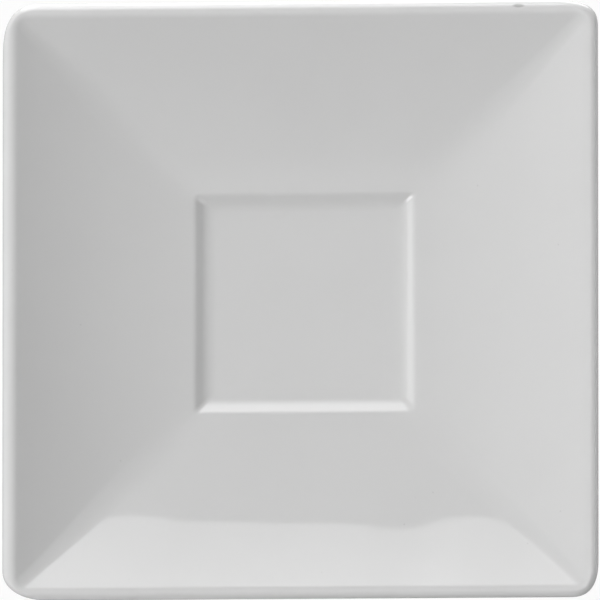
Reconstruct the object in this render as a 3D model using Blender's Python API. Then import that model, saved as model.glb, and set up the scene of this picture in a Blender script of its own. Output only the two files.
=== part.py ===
"""Square porcelain saucer with a square cup well and a square foot ring.

The ware is a pressed biscuit body with two fired coats of glaze.  One coat runs from the well
over the rim and down the outside of the foot.  The other lines the base inside the foot.  The
foot between them is wiped bare, so that the saucer doesn't stick in the kiln.

Units are metres and +Z is up.  The origin lies on the table under the middle of the saucer, and
the sides face +X, +Y, -X and -Y.
"""
import math
from collections import namedtuple

import bmesh
import bpy

MM = 0.001

# Overall size of the glazed saucer
SIDE = 150.0 * MM
HEIGHT = 21.0 * MM
CORNER_RADIUS = 7.5 * MM

# Rounded rim, on its outer and inner side of the crest
RIM_OUTER_RADIUS = 2.1 * MM
RIM_INNER_RADIUS = 4.5 * MM

# Sloping sides, which meet in a soft crease at each corner
SLOPE_AT_WELL = math.radians(5.0)
CREASE_RADIUS = 5.2 * MM
CREASE_BLEND = 9.0 * MM
WALL_THICKNESS = 4.6 * MM

# Cup well, sunk into the middle
WELL_WIDTH = 55.3 * MM
WELL_DEPTH = 1.9 * MM
WELL_FLANK = math.radians(32.0)
WELL_EDGE_RADIUS = 4.4 * MM
WELL_FLOOR_RADIUS = 8.6 * MM
WELL_CORNER_RADIUS = 2.2 * MM
WELL_FLOOR_CORNER_RADIUS = 1.2 * MM

# Base, and the space between it and the table
BASE_THICKNESS = 4.5 * MM
BASE_CLEARANCE = 2.5 * MM
BASE_RAMP_LEAST_RUN = 6.0 * MM
BASE_FLAT_CORNER_RADIUS = 3.0 * MM

# Foot ring, as it stands bare on the table
FOOT_WIDTH = 78.0 * MM
FOOT_FACE = 3.2 * MM
FOOT_CORNER_RADIUS = 9.0 * MM
FOOT_OUTER_DRAFT = math.radians(12.0)
FOOT_INNER_DRAFT = math.radians(20.0)
FOOT_EDGE_RADIUS = 0.8 * MM
FOOT_OUTER_FILLET = 3.0 * MM
FOOT_INNER_FILLET = 2.0 * MM

# Glaze, and the room that its meshes keep to the biscuit
GLAZE_THICKNESS = 0.3 * MM
GLAZE_CLEARANCE = 0.3 * MM
GLAZE_LINE_OUTSIDE = 1.6 * MM
GLAZE_LINE_INSIDE = 1.4 * MM
COAT = GLAZE_CLEARANCE + GLAZE_THICKNESS

# Facets: steps round each corner in plan, and along each stretch of the outline
CORNER_STEPS = 6
FLOOR_STEPS = 4
EDGE_STEPS = 4
SLOPE_STEPS = 9
RIM_INNER_STEPS = 4
RIM_OUTER_STEPS = 5
RIM_UNDER_STEPS = 4
UNDERSIDE_STEPS = 7
FOOT_STEPS = 4
BASE_STEPS = 6
SOLVER_STEPS = 40
SAME_POINT = 0.001 * MM
LEAST_PLAN_RADIUS = 1.0 * MM
SHARP_ANGLE = math.radians(35.0)

# Headings along the outline, which runs from the well over the rim and back under to the base
OUTWARD = 0.0
DOWNWARD = -math.pi / 2
INWARD = -math.pi
OUTER_WALL_DOWN = DOWNWARD - FOOT_OUTER_DRAFT
INNER_WALL_UP = DOWNWARD - math.pi + FOOT_INNER_DRAFT

# A point of the outline: half-width, height, heading, and plan radius of the corners there
Station = namedtuple("Station", "u z heading radius")
Point = namedtuple("Point", "u z heading")


def ahead(point, heading, distance):
    """The point that lies a distance away along a heading."""
    u = point.u + distance * math.cos(heading)
    z = point.z + distance * math.sin(heading)
    return Point(u, z, heading)


def arc(start, heading_in, heading_out, radius, steps):
    """Points of an arc that turns from one heading to another."""
    turn = heading_out - heading_in
    bend = math.copysign(radius, turn)
    centre_u = start.u - bend * math.sin(heading_in)
    centre_z = start.z + bend * math.cos(heading_in)
    points = []
    for step in range(steps + 1):
        heading = heading_in + turn * step / steps
        u = centre_u + bend * math.sin(heading)
        z = centre_z - bend * math.cos(heading)
        points.append(Point(u, z, heading))
    return points


def reach(radius, heading_in, heading_out):
    """How far from a sharp corner its fillet starts and ends."""
    return radius * math.tan(abs(heading_out - heading_in) / 2)


def fitted(radius, heading_in, heading_out, room):
    """A fillet radius, limited by the straight wall that it may use up."""
    return min(radius, room / math.tan(abs(heading_out - heading_in) / 2))


def fillet(corner, heading_in, heading_out, radius, steps):
    """Points of the arc that rounds a sharp corner."""
    start = ahead(corner, heading_in, -reach(radius, heading_in, heading_out))
    return arc(start, heading_in, heading_out, radius, steps)


def curve(start, slope_start, end, slope_end, steps):
    """Points of a cubic from start to end, with the given slope at each."""
    run = end.u - start.u
    travel = OUTWARD if run > 0 else INWARD
    points = []
    for step in range(steps + 1):
        t = step / steps
        z = (
            start.z * (2 * t**3 - 3 * t**2 + 1)
            + slope_start * run * (t**3 - 2 * t**2 + t)
            + end.z * (3 * t**2 - 2 * t**3)
            + slope_end * run * (t**3 - t**2)
        )
        rise = (
            (start.z - end.z) * (6 * t**2 - 6 * t)
            + slope_start * run * (3 * t**2 - 4 * t + 1)
            + slope_end * run * (3 * t**2 - 2 * t)
        )
        points.append(Point(start.u + run * t, z, travel + math.atan(rise / run)))
    return points


def stations(points, radius_at):
    """Points with the plan radius of the corners, which depends on the half-width."""
    return [Station(point.u, point.z, point.heading, radius_at(point.u)) for point in points]


def between(u_a, radius_a, u_b, radius_b):
    """A plan radius that changes evenly from one half-width to another."""
    def radius_at(u):
        return radius_a + (radius_b - radius_a) * (u - u_a) / (u_b - u_a)
    return radius_at


def parallel(u_known, radius_known):
    """A plan radius that keeps the corners parallel to a known loop, and never sharp."""
    def radius_at(u):
        return max(radius_known + u - u_known, LEAST_PLAN_RADIUS)
    return radius_at


def eased(u_a, radius_a, blend, radius_b):
    """A plan radius that eases from one value to another over a blend length."""
    def radius_at(u):
        t = min(max((u - u_a) / blend, 0.0), 1.0)
        return radius_a + (radius_b - radius_a) * t * t * (3 - 2 * t)
    return radius_at


class Slope:
    """The sloping side's upper face: a parabola from the well's edge up to the rim."""

    def __init__(self, well):
        start = well[-1]
        self.floor = well[0]
        self.start = start
        self.crest = Point(SIDE / 2 - RIM_OUTER_RADIUS, HEIGHT, OUTWARD)
        self.angle = SLOPE_AT_WELL
        for _ in range(SOLVER_STEPS):
            self.end = Point(
                self.crest.u - RIM_INNER_RADIUS * math.sin(self.angle),
                self.crest.z - RIM_INNER_RADIUS * (1 - math.cos(self.angle)),
                self.angle,
            )
            mean = (self.end.z - start.z) / (self.end.u - start.u)
            self.angle = math.atan(2 * mean - math.tan(SLOPE_AT_WELL))

    def steepness(self, u):
        """Rise over run at a half-width, which stays as it is at the well's edge inside that."""
        share = max(u - self.start.u, 0.0) / (self.end.u - self.start.u)
        return math.tan(SLOPE_AT_WELL) + share * (math.tan(self.angle) - math.tan(SLOPE_AT_WELL))

    def height(self, u):
        """Height of the upper face at a half-width: on the slope, or down the well's side."""
        out = u - self.start.u
        if out > 0:
            return self.start.z + out * (math.tan(SLOPE_AT_WELL) + self.steepness(u)) / 2
        fall = out * (self.start.z - self.floor.z) / (self.start.u - self.floor.u)
        return max(self.start.z + fall, self.floor.z)


def well_stations():
    """The well's floor, its flank and its edge, up to where the slope starts."""
    floor_z = BASE_CLEARANCE + BASE_THICKNESS
    flank_run = WELL_DEPTH / math.tan(WELL_FLANK)
    edge = Point(WELL_WIDTH / 2, floor_z + WELL_DEPTH, WELL_FLANK)
    floor = Point(edge.u - flank_run, floor_z, OUTWARD)
    flank_length = WELL_DEPTH / math.sin(WELL_FLANK)
    floor_room = flank_length - reach(WELL_EDGE_RADIUS, WELL_FLANK, SLOPE_AT_WELL)
    floor_radius = fitted(WELL_FLOOR_RADIUS, OUTWARD, WELL_FLANK, floor_room)
    points = fillet(floor, OUTWARD, WELL_FLANK, floor_radius, FLOOR_STEPS)
    points += fillet(edge, WELL_FLANK, SLOPE_AT_WELL, WELL_EDGE_RADIUS, EDGE_STEPS)
    radius_at = between(points[0].u, WELL_FLOOR_CORNER_RADIUS, points[-1].u, WELL_CORNER_RADIUS)
    return stations(points, radius_at)


def slope_stations(slope):
    """The sloping side from the well's edge to where the rim starts to round over."""
    points = curve(slope.start, math.tan(SLOPE_AT_WELL), slope.end, math.tan(slope.angle), SLOPE_STEPS)
    return stations(points, eased(slope.start.u, WELL_CORNER_RADIUS, CREASE_BLEND, CREASE_RADIUS))


def rim_stations(slope):
    """The rim, over its crest and round to the underside."""
    crest_radius = CORNER_RADIUS - RIM_OUTER_RADIUS
    inner = arc(slope.end, slope.angle, OUTWARD, RIM_INNER_RADIUS, RIM_INNER_STEPS)
    outer = arc(slope.crest, OUTWARD, DOWNWARD, RIM_OUTER_RADIUS, RIM_OUTER_STEPS)
    under = arc(outer[-1], DOWNWARD, INWARD + slope.angle, RIM_OUTER_RADIUS, RIM_UNDER_STEPS)
    rim = stations(inner, between(slope.end.u, CREASE_RADIUS, slope.crest.u, crest_radius))
    return rim + stations(outer + under, parallel(slope.crest.u, crest_radius))


def wall_top(slope, corner, lean):
    """Where a foot wall that leans out by a slope meets the underside of the sloping side."""
    z = corner.z
    for _ in range(SOLVER_STEPS):
        u = corner.u + lean * (z - corner.z)
        z = slope.height(u) - WALL_THICKNESS
    return Point(u, z, math.atan(slope.steepness(u)))


def grown_edge(draft):
    """How far a sharp foot edge moves out when the wall and the face are both coated."""
    return COAT * math.cos(draft) / (1 + math.sin(draft))


def outer_foot_stations(slope, corner, rim_end):
    """The underside from the rim to the foot, then the foot's outer wall down to the glaze line."""
    top = wall_top(slope, corner, math.tan(FOOT_OUTER_DRAFT))
    heading = INWARD + top.heading
    line = ahead(corner, OUTER_WALL_DOWN, (corner.z - GLAZE_LINE_OUTSIDE) / math.cos(FOOT_OUTER_DRAFT))
    room = (top.z - line.z) / math.cos(FOOT_OUTER_DRAFT)
    radius = fitted(FOOT_OUTER_FILLET, heading, OUTER_WALL_DOWN, room)
    wall = fillet(top, heading, OUTER_WALL_DOWN, radius, FOOT_STEPS) + [line]
    at_foot = parallel(corner.u, FOOT_CORNER_RADIUS)
    under = curve(rim_end, math.tan(slope.angle), wall[0], math.tan(top.heading), UNDERSIDE_STEPS)
    at_underside = between(rim_end.u, rim_end.radius, wall[0].u, at_foot(wall[0].u))
    return stations(under, at_underside) + stations(wall, at_foot)


def foot_face_stations(outer_corner, inner_corner):
    """The foot's standing face with its two rounded edges, between the two glaze lines."""
    radius = FOOT_EDGE_RADIUS + COAT
    points = fillet(outer_corner, OUTER_WALL_DOWN, INWARD, radius, FOOT_STEPS)
    points += fillet(inner_corner, INWARD, INNER_WALL_UP, radius, FOOT_STEPS)
    return stations(points, parallel(outer_corner.u, FOOT_CORNER_RADIUS))


def base_stations(slope, outer_corner, corner):
    """The foot's inner wall up from its glaze line, then the base in to its flat under the well."""
    top = wall_top(slope, corner, -math.tan(FOOT_INNER_DRAFT))
    heading = INWARD + top.heading
    line = ahead(corner, INNER_WALL_UP, (GLAZE_LINE_INSIDE - corner.z) / math.cos(FOOT_INNER_DRAFT))
    room = (top.z - line.z) / math.cos(FOOT_INNER_DRAFT)
    radius = fitted(FOOT_INNER_FILLET, INNER_WALL_UP, heading, room)
    wall = [line] + fillet(top, INNER_WALL_UP, heading, radius, FOOT_STEPS)
    at_foot = parallel(outer_corner.u, FOOT_CORNER_RADIUS)
    flat_u = min(slope.floor.u, wall[-1].u - BASE_RAMP_LEAST_RUN)
    flat = Point(flat_u, BASE_CLEARANCE, INWARD)
    ramp = curve(wall[-1], math.tan(top.heading), flat, 0.0, BASE_STEPS)
    at_ramp = between(wall[-1].u, at_foot(wall[-1].u), flat.u, BASE_FLAT_CORNER_RADIUS)
    return stations(wall, at_foot) + stations(ramp, at_ramp)


def joined(*stretches):
    """One chain of stations, with the point that two stretches share kept once."""
    chain = []
    for stretch in stretches:
        for station in stretch:
            if chain and math.dist(chain[-1][:2], station[:2]) < SAME_POINT:
                continue
            chain.append(station)
    return chain


def outlines():
    """The coated outline in three chains: under the upper coat, round the bare foot, under the base.

    The outline is drawn as if the foot were coated as well, so its standing face lies one coat
    below the table and the biscuit inside it stands on the table.
    """
    well = well_stations()
    slope = Slope(well)
    rim = rim_stations(slope)
    outer_u = FOOT_WIDTH / 2 + grown_edge(FOOT_OUTER_DRAFT)
    inner_u = FOOT_WIDTH / 2 - FOOT_FACE - grown_edge(FOOT_INNER_DRAFT)
    outer_corner = Point(outer_u, -COAT, INWARD)
    inner_corner = Point(inner_u, -COAT, INWARD)
    outer_foot = outer_foot_stations(slope, outer_corner, rim[-1])
    upper = joined(well, slope_stations(slope), rim, outer_foot)
    face = foot_face_stations(outer_corner, inner_corner)
    base = joined(base_stations(slope, outer_corner, inner_corner))
    return upper, face, base


def inset(chain, depth):
    """A chain moved into the ware along its normals, with its corners kept parallel."""
    moved = []
    for station in chain:
        outward = -math.sin(station.heading)
        upward = math.cos(station.heading)
        moved.append(station._replace(
            u=station.u - depth * outward,
            z=station.z - depth * upward,
            radius=station.radius - depth * outward,
        ))
    return moved


def loop_points(station):
    """The rounded square at a station, anticlockwise seen from above."""
    middle = station.u - station.radius
    points = []
    for corner in range(4):
        for step in range(CORNER_STEPS + 1):
            angle = (corner + step / CORNER_STEPS) * math.pi / 2
            side_x = 1 if corner in (0, 3) else -1
            side_y = 1 if corner in (0, 1) else -1
            x = side_x * middle + station.radius * math.cos(angle)
            y = side_y * middle + station.radius * math.sin(angle)
            points.append((x, y, station.z))
    return points


def loft(name, chain):
    """A closed solid through the rounded squares of a chain, capped at both ends."""
    mesh = bpy.data.meshes.new(name)
    shape = bmesh.new()
    loops = [[shape.verts.new(point) for point in loop_points(station)] for station in chain]
    for near, far in zip(loops, loops[1:]):
        for here in range(len(near)):
            after = (here + 1) % len(near)
            shape.faces.new((near[here], far[here], far[after], near[after]))
    shape.faces.new(loops[0])
    shape.faces.new(reversed(loops[-1]))
    shape.to_mesh(mesh)
    shape.free()
    mesh.shade_smooth()
    mesh.set_sharp_from_angle(angle=SHARP_ANGLE)
    return bpy.data.objects.new(name, mesh)


def material(name, colour, roughness):
    """A plain non-metal surface."""
    surface = bpy.data.materials.new(name)
    surface.use_nodes = True
    shader = surface.node_tree.nodes["Principled BSDF"]
    shader.inputs["Base Color"].default_value = (*colour, 1.0)
    shader.inputs["Roughness"].default_value = roughness
    shader.inputs["Metallic"].default_value = 0.0
    return surface


def main():
    for old in list(bpy.data.objects):
        bpy.data.objects.remove(old, do_unlink=True)

    glaze = material("white_glaze", (0.80, 0.80, 0.79), 0.08)
    biscuit = material("bare_biscuit", (0.74, 0.72, 0.69), 0.75)

    upper, face, base = outlines()
    body = loft("porcelain_body", inset(upper + face + base, COAT))
    coat = loft("glaze_coat", upper + inset(upper, GLAZE_THICKNESS)[::-1])
    lining = loft("base_glaze", inset(base, GLAZE_THICKNESS)[::-1] + base)

    saucer = bpy.data.objects.new("saucer", None)
    bpy.context.scene.collection.objects.link(saucer)
    for piece, surface in ((body, biscuit), (coat, glaze), (lining, glaze)):
        piece.data.materials.append(surface)
        piece.parent = saucer
        bpy.context.scene.collection.objects.link(piece)


main()
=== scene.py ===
"""Looks of the square porcelain saucer: fine surfaces, glaze and biscuit, camera and studio light.

The frame's three solids are replaced by fine meshes with the same outline.  The outline runs from
the middle of the well over the rim, back under to the foot, and in to the middle of the base.
Units are metres and +Z is up.  The picture's right is +X and its top is +Y.
"""
import math
from collections import namedtuple

import bpy
import numpy as np
from mathutils import Matrix, Vector


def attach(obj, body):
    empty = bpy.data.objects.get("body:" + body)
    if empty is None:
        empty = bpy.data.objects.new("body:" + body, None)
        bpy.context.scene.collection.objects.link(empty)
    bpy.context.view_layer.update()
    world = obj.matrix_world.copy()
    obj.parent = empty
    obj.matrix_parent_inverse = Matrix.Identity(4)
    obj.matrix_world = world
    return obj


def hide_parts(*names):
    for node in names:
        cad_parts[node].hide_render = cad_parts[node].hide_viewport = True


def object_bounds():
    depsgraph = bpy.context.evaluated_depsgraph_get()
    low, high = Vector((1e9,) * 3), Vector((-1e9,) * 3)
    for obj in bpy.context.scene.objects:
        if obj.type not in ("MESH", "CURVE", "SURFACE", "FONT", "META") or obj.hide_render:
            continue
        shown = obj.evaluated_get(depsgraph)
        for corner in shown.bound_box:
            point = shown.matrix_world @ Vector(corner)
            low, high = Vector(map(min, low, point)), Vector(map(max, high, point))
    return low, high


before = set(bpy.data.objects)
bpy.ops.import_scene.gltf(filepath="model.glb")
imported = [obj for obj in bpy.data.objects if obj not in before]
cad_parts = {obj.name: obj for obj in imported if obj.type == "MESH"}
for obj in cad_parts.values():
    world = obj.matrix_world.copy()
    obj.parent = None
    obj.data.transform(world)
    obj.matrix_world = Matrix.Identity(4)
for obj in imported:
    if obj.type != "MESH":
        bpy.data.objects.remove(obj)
cad_low, cad_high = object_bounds()

MM = 0.001

# Overall size, from the frame
SIDE = cad_high.x - cad_low.x
HEIGHT = cad_high.z - cad_low.z

# Rim, sloping sides and the crease where two sides meet
CORNER_RADIUS = 7.5 * MM
RIM_OUTER_RADIUS = 2.1 * MM
RIM_INNER_RADIUS = 3.8 * MM
SLOPE_AT_WELL = math.radians(5.0)
CREASE_RADIUS = 5.2 * MM
CREASE_BLEND = 9.0 * MM
RIM_CREASE_RADIUS = 2.6 * MM
RIM_CREASE_BLEND = 26.0 * MM
CREST_CORNER_RADIUS = 4.0 * MM
WALL_THICKNESS = 4.6 * MM

# Cup well
WELL_WIDTH = 55.3 * MM
WELL_DEPTH = 1.9 * MM
WELL_FLANK = math.radians(32.0)
WELL_EDGE_RADIUS = 3.0 * MM
WELL_FLOOR_RADIUS = 5.2 * MM
WELL_POOL_RADIUS = 11.0 * MM
WELL_POOL = math.radians(9.0)
WELL_CORNER_RADIUS = 1.2 * MM
WELL_FLOOR_CORNER_RADIUS = 0.5 * MM
WELL_MIDDLE = 0.4 * MM

# Base and foot ring
BASE_THICKNESS = 4.5 * MM
BASE_CLEARANCE = 2.5 * MM
BASE_RAMP_LEAST_RUN = 6.0 * MM
BASE_FLAT_CORNER_RADIUS = 3.0 * MM
FOOT_WIDTH = 78.0 * MM
FOOT_FACE = 3.2 * MM
FOOT_CORNER_RADIUS = 9.0 * MM
FOOT_OUTER_DRAFT = math.radians(12.0)
FOOT_INNER_DRAFT = math.radians(20.0)
FOOT_EDGE_RADIUS = 0.8 * MM
FOOT_OUTER_FILLET = 3.0 * MM
FOOT_INNER_FILLET = 2.0 * MM

# Glaze: it fills the room down to the biscuit and ends in a rounded line on the foot
COAT = 0.6 * MM
COAT_THICKNESS = 0.57 * MM
GLAZE_LINE_OUTSIDE = 1.6 * MM
GLAZE_LINE_INSIDE = 1.4 * MM
GLAZE_LIP = 0.5 * MM

# Corners of the outline, a little uneven: reach along X and along Y, and power, where 2 is an ellipse
RIM_CORNERS = {
    (1, 1): (15.0 * MM, 7.5 * MM, 3.2),
    (-1, 1): (11.0 * MM, 14.0 * MM, 2.9),
    (-1, -1): (11.5 * MM, 7.5 * MM, 2.15),
    (1, -1): (7.5 * MM, 10.0 * MM, 2.7),
}

# How far rim crest, well edge and well floor sit off the middle, and the well's stretch, along X and Y
RIM_DRIFT = MM * np.array((0.25, -0.38))
WELL_DRIFT = MM * np.array((0.11, -0.21))
WELL_FLOOR_DRIFT = MM * np.array((0.10, 0.60))
WELL_STRETCH = np.array((0.004, -0.0077))

# Corners of the well, a little uneven too: share of the plan radius, and power, where 1 is a straight cut
WELL_CORNERS = {
    (1, 1): (0.5, 1.3),
    (-1, 1): (1.6, 2.0),
    (-1, -1): (0.9, 2.0),
    (1, -1): (1.9, 2.0),
}

# Warp from the kiln: the front slope turns a little steeper towards both ends, and dips beside the right one
BEND_AT = 55.0 * MM
BEND_WIDTH = 5.0 * MM
BEND_EDGE = 6.0 * MM
BEND_FADE_AT = 54.0 * MM
BEND_FADE = 4.0 * MM
BEND_BASE = math.radians(-0.1)
BEND_LEFT = math.radians(0.75)
BEND_LEFT_AT = 31.5 * MM
BEND_RIGHT = math.radians(1.1)
BEND_RIGHT_AT = 35.5 * MM
BEND_START = 2.5 * MM
DIP = math.radians(0.72)
DIP_AT = 29.0 * MM
DIP_SIZE = 8.0 * MM

# Faint waves on the upper face: two sets that cross, the direction of each, and the second one's shift
WAVE_LENGTH = 34.0 * MM
WAVE_HEIGHT = 0.008 * MM
WAVE_ALONG = (1.0, 0.4)
CROSS_WAVE_ALONG = (-0.3, 0.8)
CROSS_WAVE_SHIFT = 1.0

# Noise: each pattern's scale per metre and its detail, and the values that count as its low and high ends
MOTTLE_NOISE = (55.0, 2.0)
GLOSS_NOISE = (420.0, 3.0)
RIPPLE_NOISE = (250.0, 1.0)
RUB_NOISE = (260.0, 4.0)
TONE_NOISE = (120.0, 3.0)
GRAIN_NOISE = (2600.0, 4.0)
NOISE_LOW = 0.3
NOISE_HIGH = 0.7

# Glaze: its colour, how much lighter it is painted on the rim as painted light for the light that the rim
# catches and how far under the rim that reaches, and its faint unevenness
GLAZE_COLOUR = (0.70, 0.70, 0.70)
GLAZE_SMOOTHEST = 0.035
GLAZE_ROUGHEST = 0.065
RIM_PAINTED_LIGHT_GAIN = 1.08
RIM_PAINTED_LIGHT_UNDER = 5.0 * MM
MOTTLE = 0.006
RIPPLE_HEIGHT = 0.005 * MM

# Iron specks in the glaze and one painted dark reflection on the rim's top, in mm: place, half-length along
# each axis, and shade
FLECK = (0.24, 0.24, 0.6)
LARGER_FLECK = (0.26, 0.26, 0.6)
DARK_RIM_REFLECTION = (1.5, 0.5, 0.5)
MARKS = (
    ((44.0, 29.0, 11.4), FLECK, 0.90),
    ((64.9, 13.5, 17.9), FLECK, 0.90),
    ((-55.8, -5.5, 14.6), FLECK, 0.90),
    ((-46.0, -39.6, 11.8), FLECK, 0.90),
    ((32.8, -48.1, 12.4), FLECK, 0.90),
    ((65.4, -53.4, 18.1), FLECK, 0.90),
    ((25.8, -56.2, 14.7), LARGER_FLECK, 0.88),
    ((57.0, -61.3, 16.6), FLECK, 0.90),
    ((5.5, -68.4, 19.4), FLECK, 0.94),
    # Painted dark reflection: a dark streak on the white top rim
    ((55.2, 73.4, 20.8), DARK_RIM_REFLECTION, 0.62),
)

# Finer specks all over, and the shares of a speck's or mark's size where it is full and where it is gone
SPECK_CELLS = 150.0
SPECK_RADIUS = 0.2 * MM
SPECK_SHADE = 0.95
SPECK_FULL = 0.5
SPECK_GONE = 1.3

# Bare biscuit on the foot, with a rubbed, greyer standing face
BISCUIT_COLOUR = (0.70, 0.68, 0.65)
BISCUIT_RUBBED = (0.58, 0.565, 0.545)
UNRUBBED_ROUGHNESS = 0.88
RUBBED_ROUGHNESS = 0.6
RUBBED_BELOW = 0.25 * MM
RUBBED_FULL = 0.4 * RUBBED_BELOW
RUBBED_GONE = 1.2 * RUBBED_BELOW
GRAIN_HEIGHT = 0.03 * MM
TONE_DARK = 0.95
TONE_LIGHT = 1.05
GRAIN_DARK = 0.93
GRAIN_LIGHT = 1.04

# Facets: steps round a loop's corners and along its sides, then along the outline from well to base
CORNER_STEPS = 20
SIDE_STEPS = 40
FLAT_STEPS = 14
WELL_POOL_STEPS = 10
WELL_FLOOR_STEPS = 14
WELL_EDGE_STEPS = 12
SLOPE_STEPS = 56
RIM_INNER_STEPS = 14
RIM_OUTER_STEPS = 20
RIM_UNDER_STEPS = 14
UNDERSIDE_STEPS = 30
FOOT_OUTER_FILLET_STEPS = 14
FOOT_WALL_STEPS = 4
FOOT_EDGE_STEPS = 10
FOOT_INNER_FILLET_STEPS = 12
BASE_RAMP_STEPS = 18
LIP_STEPS = 10

# Where a face is hidden under the glaze, only every so many stations are kept
HIDDEN_EVERY = 3
BODY_BASE_EVERY = 2

# Limits for working out the outline
SOLVER_STEPS = 40
SAME_POINT = 0.0005 * MM
LEAST_PLAN_RADIUS = 0.6 * MM

# Headings along the outline
OUTWARD = 0.0
DOWNWARD = -math.pi / 2
INWARD = -math.pi
OUTER_WALL_DOWN = DOWNWARD - FOOT_OUTER_DRAFT
INNER_WALL_UP = DOWNWARD - math.pi + FOOT_INNER_DRAFT

# A place on the outline: half-width, height, heading and plan radius, then its shares of the rim's
# unevenness, of the rim's painted light and of the well's unevenness, and how far its loop sits off the
# middle
Station = namedtuple("Station", "u z heading radius rim thin well drift", defaults=(0.0, 0.0, 0.0, 0.0))
Point = namedtuple("Point", "u z heading")


def ahead(point, heading, distance):
    """The point that lies a distance away along a heading."""
    u = point.u + distance * math.cos(heading)
    z = point.z + distance * math.sin(heading)
    return Point(u, z, heading)


def arc(start, heading_in, heading_out, radius, steps):
    """Points of an arc that turns from one heading to another."""
    turn = heading_out - heading_in
    bend = math.copysign(radius, turn)
    centre_u = start.u - bend * math.sin(heading_in)
    centre_z = start.z + bend * math.cos(heading_in)
    points = []
    for step in range(steps + 1):
        heading = heading_in + turn * step / steps
        u = centre_u + bend * math.sin(heading)
        z = centre_z - bend * math.cos(heading)
        points.append(Point(u, z, heading))
    return points


def reach(radius, heading_in, heading_out):
    """How far from a sharp corner its fillet starts and ends."""
    return radius * math.tan(abs(heading_out - heading_in) / 2)


def fitted(radius, heading_in, heading_out, room):
    """A fillet radius, limited by the straight wall that it may use up."""
    return min(radius, room / math.tan(abs(heading_out - heading_in) / 2))


def fillet(corner, heading_in, heading_out, radius, steps):
    """Points of the arc that rounds a sharp corner."""
    start = ahead(corner, heading_in, -reach(radius, heading_in, heading_out))
    return arc(start, heading_in, heading_out, radius, steps)


def straight(start, end, steps):
    """Points between two others, without them."""
    points = []
    for step in range(1, steps):
        t = step / steps
        points.append(Point(start.u + (end.u - start.u) * t, start.z + (end.z - start.z) * t, end.heading))
    return points


def curve(start, slope_start, end, slope_end, steps):
    """Points of a cubic from start to end, with the given slope at each."""
    run = end.u - start.u
    travel = OUTWARD if run > 0 else INWARD
    points = []
    for step in range(steps + 1):
        t = step / steps
        z = (
            start.z * (2 * t**3 - 3 * t**2 + 1)
            + slope_start * run * (t**3 - 2 * t**2 + t)
            + end.z * (3 * t**2 - 2 * t**3)
            + slope_end * run * (t**3 - t**2)
        )
        rise = (
            (start.z - end.z) * (6 * t**2 - 6 * t)
            + slope_start * run * (3 * t**2 - 4 * t + 1)
            + slope_end * run * (3 * t**2 - 2 * t)
        )
        points.append(Point(start.u + run * t, z, travel + math.atan(rise / run)))
    return points


def stations(points, radius_at, **shares):
    """Points with the plan radius of the corners there, and with the shares that are given by half-width."""
    made = []
    for point in points:
        values = {name: share_at(point.u) for name, share_at in shares.items()}
        made.append(Station(point.u, point.z, point.heading, radius_at(point.u), **values))
    return made


def between(u_a, value_a, u_b, value_b):
    """A value that changes evenly from one half-width to another."""
    def value_at(u):
        return value_a + (value_b - value_a) * (u - u_a) / (u_b - u_a)
    return value_at


def parallel(u_known, radius_known):
    """A plan radius that keeps the corners parallel to a known loop, and never sharp."""
    def radius_at(u):
        return max(radius_known + u - u_known, LEAST_PLAN_RADIUS)
    return radius_at


def eased(u_a, value_a, blend, value_b):
    """A value that eases from one to another over a blend length, which may run inward."""
    def value_at(u):
        t = min(max((u - u_a) / blend, 0.0), 1.0)
        return value_a + (value_b - value_a) * t * t * (3 - 2 * t)
    return value_at


def always(value):
    """A value that is the same at every half-width."""
    def value_at(u):
        return value
    return value_at


def least(first_at, second_at):
    """The lesser of two values at every half-width."""
    def value_at(u):
        return min(first_at(u), second_at(u))
    return value_at


class Slope:
    """The sloping side's upper face: a parabola from the well's edge up to the rim."""

    def __init__(self, floor_edge, start):
        self.floor = floor_edge
        self.start = start
        self.crest = Point(SIDE / 2 - RIM_OUTER_RADIUS, HEIGHT, OUTWARD)
        self.angle = SLOPE_AT_WELL
        for _ in range(SOLVER_STEPS):
            self.end = Point(
                self.crest.u - RIM_INNER_RADIUS * math.sin(self.angle),
                self.crest.z - RIM_INNER_RADIUS * (1 - math.cos(self.angle)),
                self.angle,
            )
            mean = (self.end.z - start.z) / (self.end.u - start.u)
            self.angle = math.atan(2 * mean - math.tan(SLOPE_AT_WELL))

    def steepness(self, u):
        """Rise over run at a half-width, which stays as it is at the well's edge inside that."""
        share = max(u - self.start.u, 0.0) / (self.end.u - self.start.u)
        return math.tan(SLOPE_AT_WELL) + share * (math.tan(self.angle) - math.tan(SLOPE_AT_WELL))

    def height(self, u):
        """Height of the upper face at a half-width: on the slope, or down the well's side."""
        out = u - self.start.u
        if out > 0:
            return self.start.z + out * (math.tan(SLOPE_AT_WELL) + self.steepness(u)) / 2
        fall = out * (self.start.z - self.floor.z) / (self.start.u - self.floor.u)
        return max(self.start.z + fall, self.floor.z)


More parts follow.
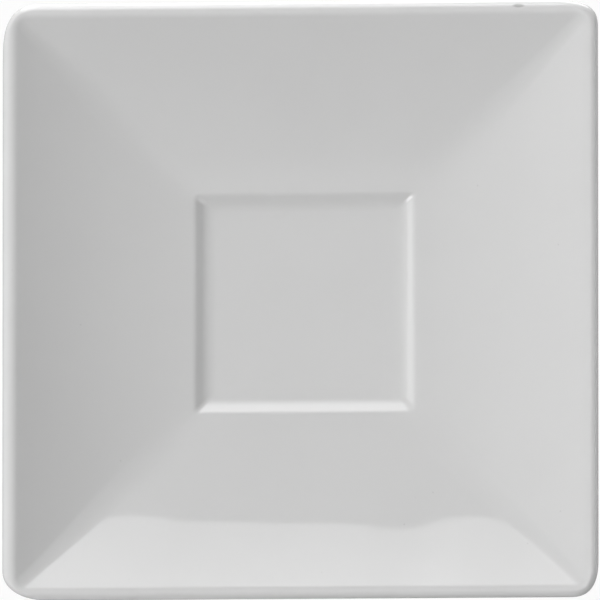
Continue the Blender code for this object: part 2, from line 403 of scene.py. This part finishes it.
def well_stations():
    """The well from its middle: floor, flank and edge, up to where the slope starts."""
    floor_z = BASE_CLEARANCE + BASE_THICKNESS
    edge = Point(WELL_WIDTH / 2, floor_z + WELL_DEPTH, WELL_FLANK)
    rounded = fillet(edge, WELL_FLANK, SLOPE_AT_WELL, WELL_EDGE_RADIUS, WELL_EDGE_STEPS)
    pool = arc(Point(0.0, floor_z, OUTWARD), OUTWARD, WELL_POOL, WELL_POOL_RADIUS, WELL_POOL_STEPS)
    pool += arc(pool[-1], WELL_POOL, WELL_FLANK, WELL_FLOOR_RADIUS, WELL_FLOOR_STEPS)[1:]
    flank_run = (rounded[0].z - pool[-1].z) / math.tan(WELL_FLANK)
    out = rounded[0].u - flank_run - pool[-1].u
    points = [point._replace(u=point.u + out) for point in pool] + rounded
    middle = Point(WELL_MIDDLE, floor_z, OUTWARD)
    flat = [middle] + straight(middle, points[0], FLAT_STEPS)
    at_flat = between(WELL_MIDDLE, WELL_MIDDLE / 2, points[0].u, WELL_FLOOR_CORNER_RADIUS)
    at_flank = between(points[0].u, WELL_FLOOR_CORNER_RADIUS, points[-1].u, WELL_CORNER_RADIUS)
    well = between(points[0].u, 0.0, points[-1].u, 1.0)
    flat_drift = between(WELL_MIDDLE, 0.0, points[0].u, WELL_FLOOR_DRIFT)
    flank_drift = between(points[0].u, WELL_FLOOR_DRIFT, points[-1].u, WELL_DRIFT)
    floor = stations(flat, at_flat, drift=flat_drift)
    return floor, stations(points, at_flank, well=well, drift=flank_drift)


def slope_stations(slope):
    """The sloping side from the well's edge to where the rim starts to round over."""
    points = curve(slope.start, math.tan(SLOPE_AT_WELL), slope.end, math.tan(slope.angle), SLOPE_STEPS)
    at_well = eased(slope.start.u, WELL_CORNER_RADIUS, CREASE_BLEND, CREASE_RADIUS)
    at_rim = eased(slope.end.u, RIM_CREASE_RADIUS, -RIM_CREASE_BLEND, CREASE_RADIUS)
    well = eased(slope.start.u, 1.0, CREASE_BLEND, 0.0)
    drift = eased(slope.start.u, WELL_DRIFT, slope.end.u - slope.start.u, RIM_DRIFT)
    return stations(points, least(at_well, at_rim), well=well, drift=drift)


def rim_stations(slope):
    """The rim, over its crest and round to the underside."""
    inner = arc(slope.end, slope.angle, OUTWARD, RIM_INNER_RADIUS, RIM_INNER_STEPS)
    outer = arc(slope.crest, OUTWARD, DOWNWARD, RIM_OUTER_RADIUS, RIM_OUTER_STEPS)
    under = arc(outer[-1], DOWNWARD, INWARD + slope.angle, RIM_OUTER_RADIUS, RIM_UNDER_STEPS)[1:]
    inner_radius = between(slope.end.u, RIM_CREASE_RADIUS, slope.crest.u, CREST_CORNER_RADIUS)
    # Painted light on the rim: its share rises over the inner arc to the crest and stays full round the
    # outer face
    thin = eased(slope.end.u, 0.0, slope.crest.u - slope.end.u, 1.0)
    outer_radius = between(slope.crest.u, CREST_CORNER_RADIUS, SIDE / 2, CORNER_RADIUS)
    rim = between(slope.crest.u, 0.0, SIDE / 2, 1.0)
    drift = between(slope.crest.u, RIM_DRIFT, SIDE / 2, 0.0)
    return (
        stations(inner, inner_radius, thin=thin, drift=always(RIM_DRIFT))
        + stations(outer, outer_radius, rim=rim, thin=always(1.0), drift=drift)
        + stations(under, outer_radius, rim=rim, thin=always(1.0))
    )


def wall_top(slope, corner, lean):
    """Where a foot wall that leans out by a slope meets the underside of the sloping side."""
    z = corner.z
    for _ in range(SOLVER_STEPS):
        u = corner.u + lean * (z - corner.z)
        z = slope.height(u) - WALL_THICKNESS
    return Point(u, z, math.atan(slope.steepness(u)))


def grown_edge(draft):
    """How far a sharp foot edge moves out when the wall and the face are both coated."""
    return COAT * math.cos(draft) / (1 + math.sin(draft))


def outer_foot_stations(slope, corner, rim_end):
    """The underside from the rim to the foot, then the foot's outer wall down to the glaze line."""
    top = wall_top(slope, corner, math.tan(FOOT_OUTER_DRAFT))
    heading = INWARD + top.heading
    line = ahead(corner, OUTER_WALL_DOWN, (corner.z - GLAZE_LINE_OUTSIDE) / math.cos(FOOT_OUTER_DRAFT))
    room = (top.z - line.z) / math.cos(FOOT_OUTER_DRAFT)
    radius = fitted(FOOT_OUTER_FILLET, heading, OUTER_WALL_DOWN, room)
    bend = fillet(top, heading, OUTER_WALL_DOWN, radius, FOOT_OUTER_FILLET_STEPS)
    wall = bend + straight(bend[-1], line, FOOT_WALL_STEPS) + [line]
    at_foot = parallel(corner.u, FOOT_CORNER_RADIUS)
    under = curve(rim_end, math.tan(slope.angle), wall[0], math.tan(top.heading), UNDERSIDE_STEPS)
    at_underside = between(rim_end.u, rim_end.radius, wall[0].u, at_foot(wall[0].u))
    rim = between(rim_end.u, rim_end.rim, wall[0].u, 0.0)
    # The rim's painted light fades out along the underside
    thin = eased(rim_end.u, 1.0, -RIM_PAINTED_LIGHT_UNDER, 0.0)
    return stations(under, at_underside, rim=rim, thin=thin) + stations(wall, at_foot)


def foot_face_stations(outer_corner, inner_corner):
    """The foot's standing face with its two rounded edges, between the two glaze lines."""
    radius = FOOT_EDGE_RADIUS + COAT
    points = fillet(outer_corner, OUTER_WALL_DOWN, INWARD, radius, FOOT_EDGE_STEPS)
    points += fillet(inner_corner, INWARD, INNER_WALL_UP, radius, FOOT_EDGE_STEPS)
    return stations(points, parallel(outer_corner.u, FOOT_CORNER_RADIUS))


def base_stations(slope, outer_corner, corner):
    """The foot's inner wall up from its glaze line, then the base in to its middle."""
    top = wall_top(slope, corner, -math.tan(FOOT_INNER_DRAFT))
    heading = INWARD + top.heading
    line = ahead(corner, INNER_WALL_UP, (GLAZE_LINE_INSIDE - corner.z) / math.cos(FOOT_INNER_DRAFT))
    room = (top.z - line.z) / math.cos(FOOT_INNER_DRAFT)
    radius = fitted(FOOT_INNER_FILLET, INNER_WALL_UP, heading, room)
    wall = [line] + fillet(top, INNER_WALL_UP, heading, radius, FOOT_INNER_FILLET_STEPS)
    at_foot = parallel(outer_corner.u, FOOT_CORNER_RADIUS)
    flat_u = min(slope.floor.u, wall[-1].u - BASE_RAMP_LEAST_RUN)
    flat = Point(flat_u, BASE_CLEARANCE, INWARD)
    ramp = curve(wall[-1], math.tan(top.heading), flat, 0.0, BASE_RAMP_STEPS)
    at_ramp = between(wall[-1].u, at_foot(wall[-1].u), flat.u, BASE_FLAT_CORNER_RADIUS)
    middle = Point(WELL_MIDDLE, BASE_CLEARANCE, INWARD)
    flats = straight(flat, middle, FLAT_STEPS) + [middle]
    at_flat = between(flat.u, BASE_FLAT_CORNER_RADIUS, middle.u, WELL_MIDDLE / 2)
    return stations(wall, at_foot) + stations(ramp, at_ramp), stations(flats, at_flat)


def joined(*stretches):
    """One chain of stations, with the point that two stretches share kept once."""
    chain = []
    for stretch in stretches:
        for station in stretch:
            if chain and math.dist(chain[-1][:2], station[:2]) < SAME_POINT:
                continue
            chain.append(station)
    return chain


def outlines():
    """The glazed outline in three chains: the upper coat, the bare foot, and the base."""
    floor, flank = well_stations()
    slope = Slope(flank[0], flank[-1])
    rim = rim_stations(slope)
    outer_u = FOOT_WIDTH / 2 + grown_edge(FOOT_OUTER_DRAFT)
    inner_u = FOOT_WIDTH / 2 - FOOT_FACE - grown_edge(FOOT_INNER_DRAFT)
    outer_corner = Point(outer_u, -COAT, INWARD)
    inner_corner = Point(inner_u, -COAT, INWARD)
    outer_foot = outer_foot_stations(slope, outer_corner, rim[-1])
    upper = joined(floor, flank, slope_stations(slope), rim, outer_foot)
    face = foot_face_stations(outer_corner, inner_corner)
    base = joined(*base_stations(slope, outer_corner, inner_corner))
    return upper, face, base


def inset(chain, depth):
    """A chain moved into the ware along its normals, with its corners kept parallel."""
    moved = []
    for station in chain:
        outward = -math.sin(station.heading)
        upward = math.cos(station.heading)
        moved.append(station._replace(
            u=station.u - depth * outward,
            z=station.z - depth * upward,
            radius=station.radius - depth * outward,
        ))
    return moved


def lip(station, travel):
    """The rounded end of the glaze at its line on the foot, from its outer to its inner face."""
    outward = -math.sin(station.heading)
    upward = math.cos(station.heading)
    half = COAT_THICKNESS / 2
    rounded = []
    for step in range(1, LIP_STEPS):
        angle = math.pi * step / LIP_STEPS
        side = half * math.cos(angle) - half
        end = travel * GLAZE_LIP * math.sin(angle)
        du = side * outward + end * math.cos(station.heading)
        dz = side * upward + end * math.sin(station.heading)
        rounded.append(station._replace(u=station.u + du, z=station.z + dz, radius=station.radius + du))
    return rounded


def corner_points(station, side_x, side_y):
    """One rounded corner of a loop, from its side on X to its side on Y."""
    well_factor, well_power = WELL_CORNERS[side_x, side_y]
    own = station.radius * (1 + station.well * (well_factor - 1))
    uneven_x, uneven_y, uneven_power = RIM_CORNERS[side_x, side_y]
    reach_x = own + station.rim * (uneven_x - CORNER_RADIUS)
    reach_y = own + station.rim * (uneven_y - CORNER_RADIUS)
    power = 2.0 + station.rim * (uneven_power - 2.0) + station.well * (well_power - 2.0)
    angle = np.linspace(0.0, math.pi / 2, CORNER_STEPS + 1)
    along_x = station.u - reach_x + reach_x * np.clip(np.cos(angle), 0.0, 1.0) ** (2 / power)
    along_y = station.u - reach_y + reach_y * np.clip(np.sin(angle), 0.0, 1.0) ** (2 / power)
    return np.column_stack((side_x * along_x, side_y * along_y))


def loop_points(station):
    """The rounded square at a station, anticlockwise seen from above, with points along its sides."""
    corners = [
        corner_points(station, 1, 1),
        corner_points(station, -1, 1)[::-1],
        corner_points(station, -1, -1),
        corner_points(station, 1, -1)[::-1],
    ]
    share = np.linspace(0.0, 1.0, SIDE_STEPS + 1)[1:-1, None]
    runs = []
    for index, corner in enumerate(corners):
        start = corner[-1]
        end = corners[(index + 1) % 4][0]
        runs += [corner, start + (end - start) * share]
    plan = np.concatenate(runs) * (1 + station.well * WELL_STRETCH) + station.drift
    return np.column_stack((plan, np.full(len(plan), station.z)))


def rising(values, middle, width):
    """A smooth step from 0 to 1 over a few widths."""
    return (1 + np.tanh((values - middle) / width)) / 2


def warp(loops):
    """Loops of the upper face with the kiln's warp added to their heights."""
    warped = loops.copy()
    x, y = loops[..., 0], loops[..., 1]
    front = np.clip((-y - np.abs(x)) / BEND_EDGE, 0.0, 1.0)
    front = front * front * (3 - 2 * front)
    faded = rising(np.abs(x), BEND_FADE_AT, BEND_FADE)
    turn = BEND_BASE - DIP * np.exp(-((x - DIP_AT) / DIP_SIZE) ** 2)
    turn += BEND_LEFT * rising(-x, BEND_LEFT_AT, BEND_START)
    turn += BEND_RIGHT * rising(x, BEND_RIGHT_AT, BEND_START)
    lift = 2 * BEND_WIDTH * rising(-y, BEND_AT, BEND_WIDTH)
    phase = 2 * math.pi / WAVE_LENGTH
    wave = phase * (WAVE_ALONG[0] * x + WAVE_ALONG[1] * y)
    cross_wave = phase * (CROSS_WAVE_ALONG[0] * x + CROSS_WAVE_ALONG[1] * y) + CROSS_WAVE_SHIFT
    waves = np.sin(wave) * np.sin(cross_wave)
    warped[..., 2] += front * (1 - faded) * turn * lift + WAVE_HEIGHT * waves
    return warped


def placed(name, data):
    """A new object in the scene."""
    made = bpy.data.objects.new(name, data)
    bpy.context.scene.collection.objects.link(made)
    return made


def loft(name, chain, warped_rows):
    """A closed mesh through a chain's loops, with a fan over each end and the share of the rim's painted
    light on its points.
    """
    loops = np.array([loop_points(station) for station in chain])
    loops[:warped_rows] = warp(loops[:warped_rows])
    rows, columns = loops.shape[:2]
    vertices = loops.reshape(-1, 3)
    first = vertices[:columns].mean(axis=0)
    last = vertices[-columns:].mean(axis=0)
    vertices = np.concatenate((vertices, first[None], last[None]))
    faces = []
    for row in range(rows - 1):
        near = row * columns
        far = near + columns
        for here in range(columns):
            after = (here + 1) % columns
            faces.append((near + here, far + here, far + after, near + after))
    top = (rows - 1) * columns
    for here in range(columns):
        after = (here + 1) % columns
        faces.append((rows * columns, here, after))
        faces.append((rows * columns + 1, top + after, top + here))
    mesh = bpy.data.meshes.new(name)
    mesh.from_pydata(vertices.tolist(), [], faces)
    mesh.update()
    mesh.shade_smooth()
    thin = np.repeat([station.thin for station in chain], columns)
    mesh.attributes.new("thin", "FLOAT", "POINT").data.foreach_set("value", np.append(thin, (0.0, 0.0)))
    return placed(name, mesh)


def every(chain, count):
    """A chain thinned to every so many stations, with both ends kept."""
    return chain[:-1:count] + [chain[-1]]


def surface(name, colour, roughness):
    """A Principled material, its node tree and its shader."""
    made = bpy.data.materials.new(name)
    made.use_nodes = True
    shader = made.node_tree.nodes["Principled BSDF"]
    shader.inputs["Base Color"].default_value = (*colour, 1.0)
    shader.inputs["Roughness"].default_value = roughness
    return made, made.node_tree, shader


def node(tree, kind, **values):
    """A new shader node with some of its inputs set by name."""
    made = tree.nodes.new("ShaderNode" + kind)
    for name, value in values.items():
        made.inputs[name.replace("_", " ")].default_value = value
    return made


def own_place(tree):
    """A point's place in the object's own coordinates."""
    return tree.nodes.new("ShaderNodeTexCoord").outputs["Object"]


def noise(tree, scale, detail):
    """Noise in the object's own coordinates, as a value from 0 to 1; the scale is per metre."""
    made = node(tree, "TexNoise", Scale=scale, Detail=detail)
    tree.links.new(own_place(tree), made.inputs["Vector"])
    return made.outputs["Fac"]


def math_node(tree, operation, *values):
    """The result of a math node, given numbers and other nodes' results."""
    made = tree.nodes.new("ShaderNodeMath")
    made.operation = operation
    for socket, value in zip(made.inputs, values):
        if isinstance(value, bpy.types.NodeSocket):
            tree.links.new(value, socket)
        else:
            socket.default_value = value
    return made.outputs[0]


def vector_node(tree, operation, value):
    """A vector math node, with its first input given as numbers or as another node's result."""
    made = tree.nodes.new("ShaderNodeVectorMath")
    made.operation = operation
    if isinstance(value, bpy.types.NodeSocket):
        tree.links.new(value, made.inputs[0])
    else:
        made.inputs[0].default_value = value
    return made


def spread(tree, value, low, high, to_low, to_high):
    """A value's range mapped smoothly onto another range, and held at its ends."""
    made = node(tree, "MapRange", From_Min=low, From_Max=high, To_Min=to_low, To_Max=to_high)
    made.interpolation_type = "SMOOTHSTEP"
    tree.links.new(value, made.inputs["Value"])
    return made.outputs["Result"]


def uneven(tree, pattern, low, high):
    """Noise spread over a range."""
    return spread(tree, pattern, NOISE_LOW, NOISE_HIGH, low, high)


def product(tree, factors):
    """All the factors multiplied together."""
    result = factors[0]
    for factor in factors[1:]:
        result = math_node(tree, "MULTIPLY", result, factor)
    return result


def mark(tree, place, half_size, shade):
    """A factor that is the shade inside a small ellipsoid and one outside it."""
    mapped = node(tree, "Mapping", Location=[MM * c for c in place], Scale=[MM * h for h in half_size])
    mapped.vector_type = "TEXTURE"
    tree.links.new(own_place(tree), mapped.inputs["Vector"])
    off = vector_node(tree, "LENGTH", mapped.outputs["Vector"])
    return spread(tree, off.outputs["Value"], SPECK_FULL, SPECK_GONE, shade, 1.0)


def specks(tree):
    """A factor that darkens small specks scattered all over."""
    cells = node(tree, "TexVoronoi", Scale=SPECK_CELLS)
    tree.links.new(own_place(tree), cells.inputs["Vector"])
    size = SPECK_RADIUS * SPECK_CELLS
    return spread(tree, cells.outputs["Distance"], SPECK_FULL * size, SPECK_GONE * size, SPECK_SHADE, 1.0)


def scaled(tree, colour, factor):
    """A colour multiplied by a factor."""
    tint = vector_node(tree, "SCALE", colour)
    tree.links.new(factor, tint.inputs["Scale"])
    return tint.outputs[0]


def bump(tree, shader, height, distance):
    """Fine relief on a shader, from a height between 0 and 1 and the distance that 1 stands for."""
    made = node(tree, "Bump", Strength=1.0, Distance=distance)
    tree.links.new(height, made.inputs["Height"])
    tree.links.new(made.outputs["Normal"], shader.inputs["Normal"])


def glaze_material():
    """White glossy glaze: painted lighter on the rim as painted light, faintly uneven and rippled, with
    specks and one painted dark reflection on the rim.
    """
    made, tree, shader = surface("white_glaze", GLAZE_COLOUR, GLAZE_ROUGHEST)
    # Painted light: the glaze colour is raised on the rim, where the rim catches more light
    share = tree.nodes.new("ShaderNodeAttribute")
    share.attribute_name = "thin"
    thin = math_node(tree, "MULTIPLY_ADD", share.outputs["Fac"], RIM_PAINTED_LIGHT_GAIN - 1.0, 1.0)
    mottle = uneven(tree, noise(tree, *MOTTLE_NOISE), 1 - MOTTLE, 1 + MOTTLE)
    factors = [thin, mottle, specks(tree)] + [mark(tree, *values) for values in MARKS]
    tree.links.new(scaled(tree, GLAZE_COLOUR, product(tree, factors)), shader.inputs["Base Color"])
    gloss = uneven(tree, noise(tree, *GLOSS_NOISE), GLAZE_SMOOTHEST, GLAZE_ROUGHEST)
    tree.links.new(gloss, shader.inputs["Roughness"])
    bump(tree, shader, noise(tree, *RIPPLE_NOISE), RIPPLE_HEIGHT)
    return made


def biscuit_material():
    """Bare fired clay on the foot: fine grain, a warm uneven tone, and a rubbed grey standing face."""
    made, tree, shader = surface("bare_biscuit", BISCUIT_COLOUR, UNRUBBED_ROUGHNESS)
    place = tree.nodes.new("ShaderNodeSeparateXYZ")
    tree.links.new(own_place(tree), place.inputs[0])
    patchy = math_node(tree, "MULTIPLY_ADD", noise(tree, *RUB_NOISE), RUBBED_BELOW, place.outputs["Z"])
    rubbed = spread(tree, patchy, RUBBED_FULL, RUBBED_GONE, 1.0, 0.0)
    tone = tree.nodes.new("ShaderNodeMix")
    tone.data_type = "RGBA"
    tree.links.new(rubbed, tone.inputs["Factor"])
    tone.inputs["A"].default_value = (*BISCUIT_COLOUR, 1.0)
    tone.inputs["B"].default_value = (*BISCUIT_RUBBED, 1.0)
    grain = noise(tree, *GRAIN_NOISE)
    patches = uneven(tree, noise(tree, *TONE_NOISE), TONE_DARK, TONE_LIGHT)
    shade = product(tree, [patches, uneven(tree, grain, GRAIN_DARK, GRAIN_LIGHT)])
    tree.links.new(scaled(tree, tone.outputs["Result"], shade), shader.inputs["Base Color"])
    gloss = spread(tree, rubbed, 0.0, 1.0, UNRUBBED_ROUGHNESS, RUBBED_ROUGHNESS)
    tree.links.new(gloss, shader.inputs["Roughness"])
    bump(tree, shader, grain, GRAIN_HEIGHT)
    return made


def make_saucer():
    """The body, the glaze over it and the glaze on its base, each in place of its solid."""
    upper, face, base = outlines()
    hidden = every(upper, HIDDEN_EVERY)
    hidden_base = every(base[::-1], HIDDEN_EVERY)
    body_chain = inset(hidden + face + every(base, BODY_BASE_EVERY), COAT)
    coat_chain = upper + lip(upper[-1], 1) + inset(hidden[::-1], COAT_THICKNESS)
    base_chain = inset(hidden_base, COAT_THICKNESS) + lip(base[0], -1)[::-1] + base
    glaze = glaze_material()
    biscuit = biscuit_material()
    pieces = (
        ("saucer_body", body_chain, 0, "porcelain_body", "biscuit", biscuit),
        ("saucer_glaze", coat_chain, len(upper), "glaze_coat", "glaze", glaze),
        ("saucer_base_glaze", base_chain, 0, "base_glaze", "glaze", glaze),
    )
    for name, chain, warped_rows, solid, slot, finish in pieces:
        piece = loft(name, chain, warped_rows)
        piece.data.materials.append(finish)
        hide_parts(solid)
        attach(piece, "root")


# Camera: far off, nearly overhead, a little to the right of and below the picture's middle
CAMERA_DISTANCE = 5.0
CAMERA_LEAN_X = math.radians(5.9)
CAMERA_LEAN_Y = math.radians(-4.2)
FRAME_WIDTH = 150.35 * MM
SENSOR_WIDTH = 36.0
CLIP_START = 0.1
CLIP_END = 20.0
AIM = Vector((0.0, 0.0, HEIGHT - RIM_OUTER_RADIUS))


def turned(right, up, back):
    """The rotation of a camera or lamp, from its three axes."""
    return Matrix((right, up, back)).transposed().to_euler()


def make_camera():
    """The camera at the photograph's viewing angle."""
    data = bpy.data.cameras.new("camera")
    camera = placed("camera", data)
    back = Vector((math.tan(CAMERA_LEAN_X), math.tan(CAMERA_LEAN_Y), 1.0)).normalized()
    right = Vector((0.0, 1.0, 0.0)).cross(back).normalized()
    camera.location = AIM + back * CAMERA_DISTANCE
    camera.rotation_euler = turned(right, back.cross(right), back)
    data.sensor_width = SENSOR_WIDTH
    data.lens = SENSOR_WIDTH * CAMERA_DISTANCE / FRAME_WIDTH
    data.clip_start = CLIP_START
    data.clip_end = CLIP_END
    bpy.context.scene.camera = camera


# Sky: each lobe's zenith angle and azimuth from +Y towards +X in degrees, and its strength
SKY_LOBES = (
    (0.0, 0.0, 0.315),
    (45.0, 45.0, 0.085),
    (45.0, 180.0, 0.04),
    (45.0, -90.0, 0.71),
    (45.0, -45.0, 0.085),
    (80.0, 0.0, 0.14),
    (80.0, 180.0, 0.46),
    (80.0, -135.0, 0.165),
    (80.0, -90.0, 0.1),
)
SKY_SHARPNESS = 5.0
WHITE = (1.0, 1.0, 1.0, 1.0)

# Key: a tall soft box behind the saucer, which the front slope mirrors
KEY_ZENITH = math.radians(58.0)
KEY_AZIMUTH = math.radians(-15.7)
KEY_ROLL = math.radians(17.2)
KEY_DISTANCE = 3.0
KEY_WIDTH = 1.182
KEY_HEIGHT = 2.214
KEY_AT_TOP = 2.0
KEY_AT_FOOT = 6.8

# Lamps that fade to their edges: angles in degrees, sizes in metres, and where on the lamp the fade starts
Lamp = namedtuple("Lamp", "name zenith azimuth distance width height fade_from strength")
LAMP_MIDDLE = (0.5, 0.5, 0.0)
LAMP_EDGE = 0.5
SOFT = 0.25
CRISP = 0.42
PANEL = Lamp("panel", 4.0, -145.0, distance=3.0, width=1.2, height=1.2, fade_from=SOFT, strength=0.39)
SIDE_LAMP = Lamp("side", 53.0, -122.0, distance=2.0, width=1.3, height=0.5, fade_from=CRISP, strength=7.5)
LEFT_LAMP = Lamp("left", 70.0, -90.0, distance=2.0, width=1.0, height=0.36, fade_from=CRISP, strength=1.6)
SPARK = Lamp("spark", 46.0, 137.0, distance=2.0, width=0.4, height=0.2, fade_from=CRISP, strength=10.0)
NEAR_LAMP = Lamp("near", 32.0, 68.0, distance=0.59, width=0.22, height=0.6, fade_from=SOFT, strength=0.28)

# Cards that stand on the floor close to the right and back sides of the rim
CARD_AT = 0.105
CARD_LENGTH = 0.18
RIGHT_CARD_AZIMUTH = math.pi / 2
RIGHT_CARD_HEIGHT = 0.05
RIGHT_CARD_STRENGTH = 0.38
BACK_CARD_AZIMUTH = 0.0
BACK_CARD_HEIGHT = 0.02
BACK_CARD_STRENGTH = 3.8

# Floor: its own colour, and how much of the white background it shows to the camera and to mirrored rays
FLOOR_HALF = 2.0
FLOOR_COLOUR = (0.4, 0.4, 0.4)
FLOOR_ROUGHNESS = 0.9
FLOOR_WHITE = 0.96
FLOOR_WHITE_MIRRORED = 0.1


def towards(zenith, azimuth):
    """The direction at a zenith angle and an azimuth from +Y towards +X."""
    flat = math.sin(zenith)
    return Vector((flat * math.sin(azimuth), flat * math.cos(azimuth), math.cos(zenith)))


def background_rays(tree, mirrored):
    """One for camera rays, which see the white background, and a share for those that see it mirrored."""
    path = tree.nodes.new("ShaderNodeLightPath").outputs
    bent = math_node(tree, "MAXIMUM", path["Is Glossy Ray"], path["Is Transmission Ray"])
    return math_node(tree, "MAXIMUM", path["Is Camera Ray"], math_node(tree, "MULTIPLY", bent, mirrored))


def mixed(tree, share, first, second, output):
    """A share of the second shader over the first, sent to the output node."""
    choice = tree.nodes.new("ShaderNodeMixShader")
    tree.links.new(share, choice.inputs["Fac"])
    tree.links.new(first.outputs[0], choice.inputs[1])
    tree.links.new(second.outputs[0], choice.inputs[2])
    tree.links.new(choice.outputs[0], tree.nodes[output].inputs["Surface"])


def make_world():
    """A soft sky that lights the saucer, with plain white behind it."""
    world = bpy.data.worlds.new("studio")
    bpy.context.scene.world = world
    world.use_nodes = True
    tree = world.node_tree
    sky = tree.nodes["Background"]
    sky.inputs["Color"].default_value = WHITE
    direction = tree.nodes.new("ShaderNodeTexCoord").outputs["Generated"]
    total = 0.0
    for zenith, azimuth, strength in SKY_LOBES:
        along = vector_node(tree, "DOT_PRODUCT", direction)
        along.inputs[1].default_value = towards(math.radians(zenith), math.radians(azimuth))
        fall = math_node(tree, "MULTIPLY_ADD", along.outputs["Value"], SKY_SHARPNESS, -SKY_SHARPNESS)
        total = math_node(tree, "MULTIPLY_ADD", math_node(tree, "EXPONENT", fall), strength, total)
    tree.links.new(total, sky.inputs["Strength"])
    white = node(tree, "Background", Color=WHITE)
    mixed(tree, background_rays(tree, 1.0), sky, white, "World Output")


def area_lamp(name, width, height, strength):
    """A rectangular lamp that the camera doesn't see; at strength 1 its face is plain white."""
    data = bpy.data.lights.new(name, "AREA")
    data.shape = "RECTANGLE"
    data.size = width
    data.size_y = height
    data.energy = strength * math.pi * width * height
    lamp = placed(name, data)
    lamp.visible_camera = False
    return lamp


def soft_box(name, zenith, azimuth, roll, distance, width, height):
    """A lamp that faces the saucer: its shader tree, and the socket for a place on it."""
    lamp = area_lamp(name, width, height, 1.0)
    away = towards(zenith, azimuth)
    side = Vector((0.0, 0.0, 1.0)).cross(away).normalized()
    rise = away.cross(side)
    across = side * math.cos(roll) + rise * math.sin(roll)
    upward = rise * math.cos(roll) - side * math.sin(roll)
    lamp.rotation_euler = turned(across, upward, away)
    lamp.location = away * distance
    lamp.data.use_nodes = True
    tree = lamp.data.node_tree
    return tree, tree.nodes.new("ShaderNodeNewGeometry").outputs["Parametric"]


def make_key():
    """The tall soft box behind the saucer, which is brighter towards its foot."""
    tree, place = soft_box("key", KEY_ZENITH, KEY_AZIMUTH, KEY_ROLL, KEY_DISTANCE, KEY_WIDTH, KEY_HEIGHT)
    parts = tree.nodes.new("ShaderNodeSeparateXYZ")
    tree.links.new(place, parts.inputs[0])
    strength = math_node(tree, "MULTIPLY_ADD", parts.outputs["Y"], KEY_AT_TOP - KEY_AT_FOOT, KEY_AT_FOOT)
    tree.links.new(strength, tree.nodes["Emission"].inputs["Strength"])


def make_soft_edged(lamp):
    """A soft box that is bright in its middle and fades to its edges."""
    zenith = math.radians(lamp.zenith)
    azimuth = math.radians(lamp.azimuth)
    tree, place = soft_box(lamp.name, zenith, azimuth, 0.0, lamp.distance, lamp.width, lamp.height)
    off = vector_node(tree, "DISTANCE", place)
    off.inputs[1].default_value = LAMP_MIDDLE
    level = spread(tree, off.outputs["Value"], lamp.fade_from, LAMP_EDGE, lamp.strength, 0.0)
    tree.links.new(level, tree.nodes["Emission"].inputs["Strength"])


def make_card(name, azimuth, height, strength):
    """A white card that stands close by and throws a little light on the rim there."""
    card = area_lamp(name, CARD_LENGTH, height, strength)
    card.location = CARD_AT * towards(math.pi / 2, azimuth) + Vector((0.0, 0.0, height / 2))
    card.rotation_euler = (math.pi / 2, 0.0, math.pi - azimuth)


def make_floor():
    """A plain pale floor that is white to the camera and keeps the saucer's shadow."""
    mesh = bpy.data.meshes.new("floor")
    corners = [(-1, -1), (1, -1), (1, 1), (-1, 1)]
    mesh.from_pydata([(x * FLOOR_HALF, y * FLOOR_HALF, 0.0) for x, y in corners], [], [(0, 1, 2, 3)])
    floor = placed("floor", mesh)
    made, tree, shader = surface("floor", FLOOR_COLOUR, FLOOR_ROUGHNESS)
    seen = background_rays(tree, FLOOR_WHITE_MIRRORED / FLOOR_WHITE)
    share = math_node(tree, "MULTIPLY", seen, FLOOR_WHITE)
    mixed(tree, share, shader, node(tree, "Emission"), "Material Output")
    mesh.materials.append(made)


make_saucer()
make_camera()
make_floor()
make_world()
make_key()
for lamp in (PANEL, SIDE_LAMP, LEFT_LAMP, SPARK, NEAR_LAMP):
    make_soft_edged(lamp)
make_card("right_card", RIGHT_CARD_AZIMUTH, RIGHT_CARD_HEIGHT, RIGHT_CARD_STRENGTH)
make_card("back_card", BACK_CARD_AZIMUTH, BACK_CARD_HEIGHT, BACK_CARD_STRENGTH)
bpy.context.scene.view_settings.view_transform = "Standard"
